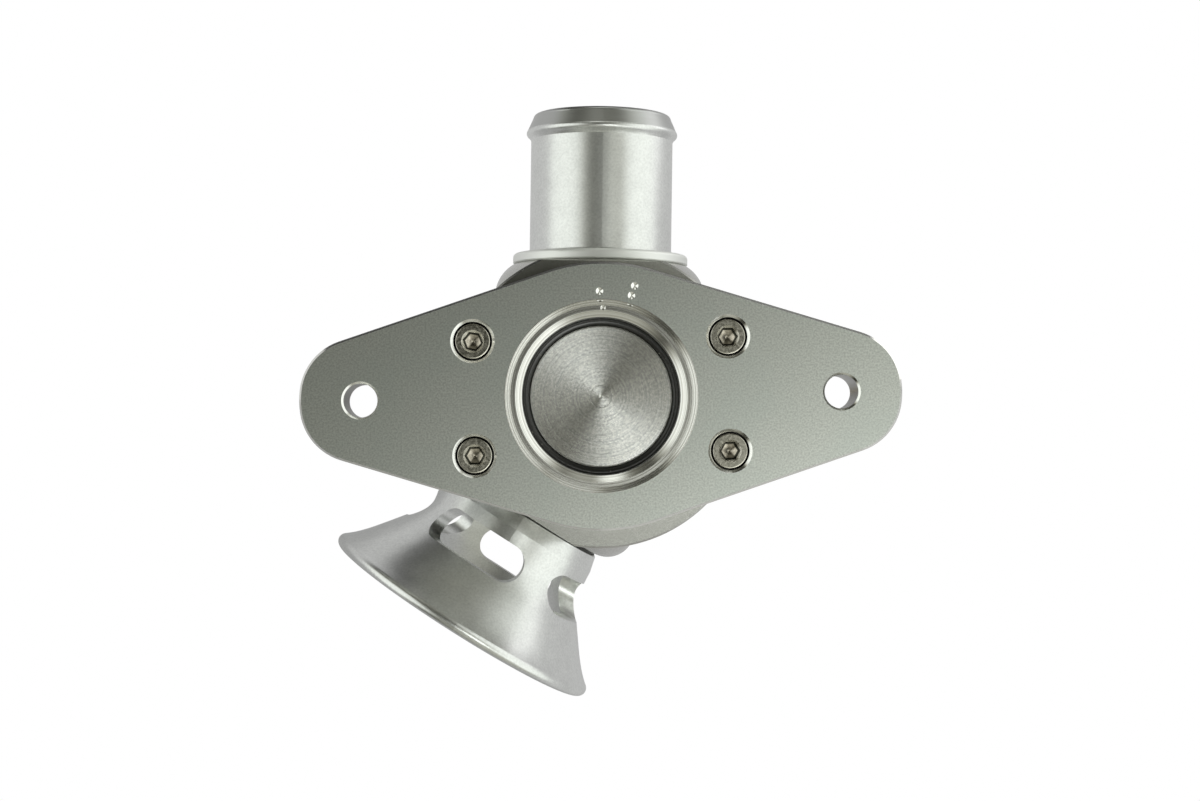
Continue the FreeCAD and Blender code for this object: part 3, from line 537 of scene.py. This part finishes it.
# White to the camera, a grey that differs from side to side in the metal's reflections, and a matt
# white sheet for all other light
def floor():
    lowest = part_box("end_cap")[0].z
    bpy.ops.mesh.primitive_plane_add(size=FLOOR_SIZE, location=(0, 0, lowest))
    obj = bpy.context.object
    obj.name = "floor"
    g = material("pale floor")
    lit = g.node("ShaderNodeBsdfDiffuse")
    lit.inputs[0].default_value = SHEET_GREY
    rays = g.node("ShaderNodeLightPath").outputs
    seen = g.node("ShaderNodeEmission")
    seen.inputs[0].default_value = WHITE
    g.put(g.mix_value(rays["Is Camera Ray"], floor_reflection(g), 1.0), seen.inputs[1])
    mixed = g.node("ShaderNodeMixShader")
    g.put(g.math("MAXIMUM", rays["Is Camera Ray"], rays["Is Glossy Ray"]), mixed.inputs[0])
    g.put(lit.outputs[0], mixed.inputs[1])
    g.put(seen.outputs[0], mixed.inputs[2])
    obj.data.materials.append(g.output(mixed.outputs[0]))


# The studio: soft patches of light round a dim room. For each patch: degrees from straight up, degrees
# round from +X, the angles where it is full and where it has faded out, and its brightness
PATCHES = (
    # a wide dim one and a small bright one behind the valve
    (62, 92, 10, 30, 0.16),
    (73, 95, 3, 12, 1.3),
    # a wide one in front
    (60, -90, 20, 46, 0.45),
    # two small ones almost straight above, right and left
    (20, 19, 4, 13, 0.55),
    (13, 180, 3, 11, 0.10),
    # one on the horizon behind
    (88, 72, 8, 20, 0.9),
)

# Long softboxes that stand round the valve: degrees round from +X, half their width, degrees from straight
# up where they start and end, the width of their soft edges and their brightness
STANDING = (
    (172, 36, 32, 110, 12, 1.12),
    (-4, 56, 36, 110, 12, 1.18),
)

# The room's own brightness, and the tints of its darkest and its brightest light
ROOM_LEVEL = 0.04
ROOM_TINT = rgb(1.0, 0.99, 0.80)
SOFTBOX_TINT = rgb(0.97, 1.0, 0.96)

# The main softbox hangs right of and below the valve, its inner edge almost straight above. Degrees across
# its short side (towards SOFTBOX_SIDE) and along its long side, then the width of its soft edges
SOFTBOX_SIDE = -57
SOFTBOX_ACROSS = (7.2, 31)
SOFTBOX_ALONG = (-10, 10)
SOFTBOX_EDGE = 7
SOFTBOX_LEVEL = 2.9


# Degrees from straight up down to the horizon, and a quarter of a turn round
HORIZON = 90
QUARTER = 90


def direction(from_top, round_from_x):
    t, a = math.radians(from_top), math.radians(round_from_x)
    return (math.sin(t) * math.cos(a), math.sin(t) * math.sin(a), math.cos(t))


def room():
    bpy.context.scene.world = bpy.data.worlds.new("room")
    g = Graph(bpy.context.scene.world)
    place = g.node("ShaderNodeTexCoord").outputs["Generated"]

    def towards(from_top, round_from_x):
        return g.vector("DOT_PRODUCT", place, direction(from_top, round_from_x))

    def in_degrees(radians):
        return g.math("MULTIPLY", radians, math.degrees(1))

    def angle(sideways, ahead):
        return in_degrees(g.math("ARCTAN2", sideways, ahead))

    def between(degrees, low, high, edge):
        past_low = g.remap(degrees, low - edge, low + edge)
        short_of_high = g.remap(degrees, high + edge, high - edge)
        return g.math("MULTIPLY", past_low, short_of_high)

    def patch(from_top, round_from_x, full, gone, level):
        ends = (math.cos(math.radians(gone)), math.cos(math.radians(full)))
        return g.remap(towards(from_top, round_from_x), *ends, 0.0, level)

    def softbox():
        across = angle(towards(HORIZON, SOFTBOX_SIDE), up)
        along = angle(towards(HORIZON, SOFTBOX_SIDE + QUARTER), up)
        lit = g.math("MULTIPLY", between(across, *SOFTBOX_ACROSS, SOFTBOX_EDGE),
                     between(along, *SOFTBOX_ALONG, SOFTBOX_EDGE))
        return g.part_of(lit, SOFTBOX_LEVEL)

    def standing(round_from_x, half, low, high, edge, level):
        from_top = in_degrees(g.math("ARCCOSINE", up))
        turned = angle(towards(HORIZON, round_from_x + QUARTER), towards(HORIZON, round_from_x))
        lit = g.math("MULTIPLY", between(turned, -half, half, edge), between(from_top, low, high, edge))
        return g.part_of(lit, level)

    up = g.vector("DOT_PRODUCT", place, UP)
    level = g.math("ADD", softbox(), ROOM_LEVEL)
    for light in [patch(*p) for p in PATCHES] + [standing(*s) for s in STANDING]:
        level = g.math("ADD", level, light)
    back = g.node("ShaderNodeBackground")
    g.put(g.mix(level, ROOM_TINT, SOFTBOX_TINT), back.inputs[0])
    g.put(level, back.inputs[1])
    g.output(back.outputs[0], "ShaderNodeOutputWorld")


# Camera: where the photograph was taken from, almost straight above the mounting face

CAMERA_PLACE = (-9.446 * MM, -10.149 * MM, 500.0 * MM)
# How far it is turned about X, Y and Z from looking straight down with +Y up in the picture, in degrees
CAMERA_TURN = (1.0591, -1.0177, -1.0986)
FOCAL_PIXELS = 2077.5
PHOTO_WIDTH = 1200.0
SENSOR_MM = 36.0


def camera():
    data = bpy.data.cameras.new("camera")
    data.sensor_width = SENSOR_MM
    data.lens = FOCAL_PIXELS / PHOTO_WIDTH * SENSOR_MM
    obj = bpy.data.objects.new("camera", data)
    bpy.context.collection.objects.link(obj)
    obj.rotation_euler = [math.radians(a) for a in CAMERA_TURN]
    obj.location = CAMERA_PLACE
    bpy.context.scene.camera = obj
    bpy.context.scene.view_settings.view_transform = "Standard"


paint_everything()
floor()
room()
camera()
bpy.context.view_layer.update()
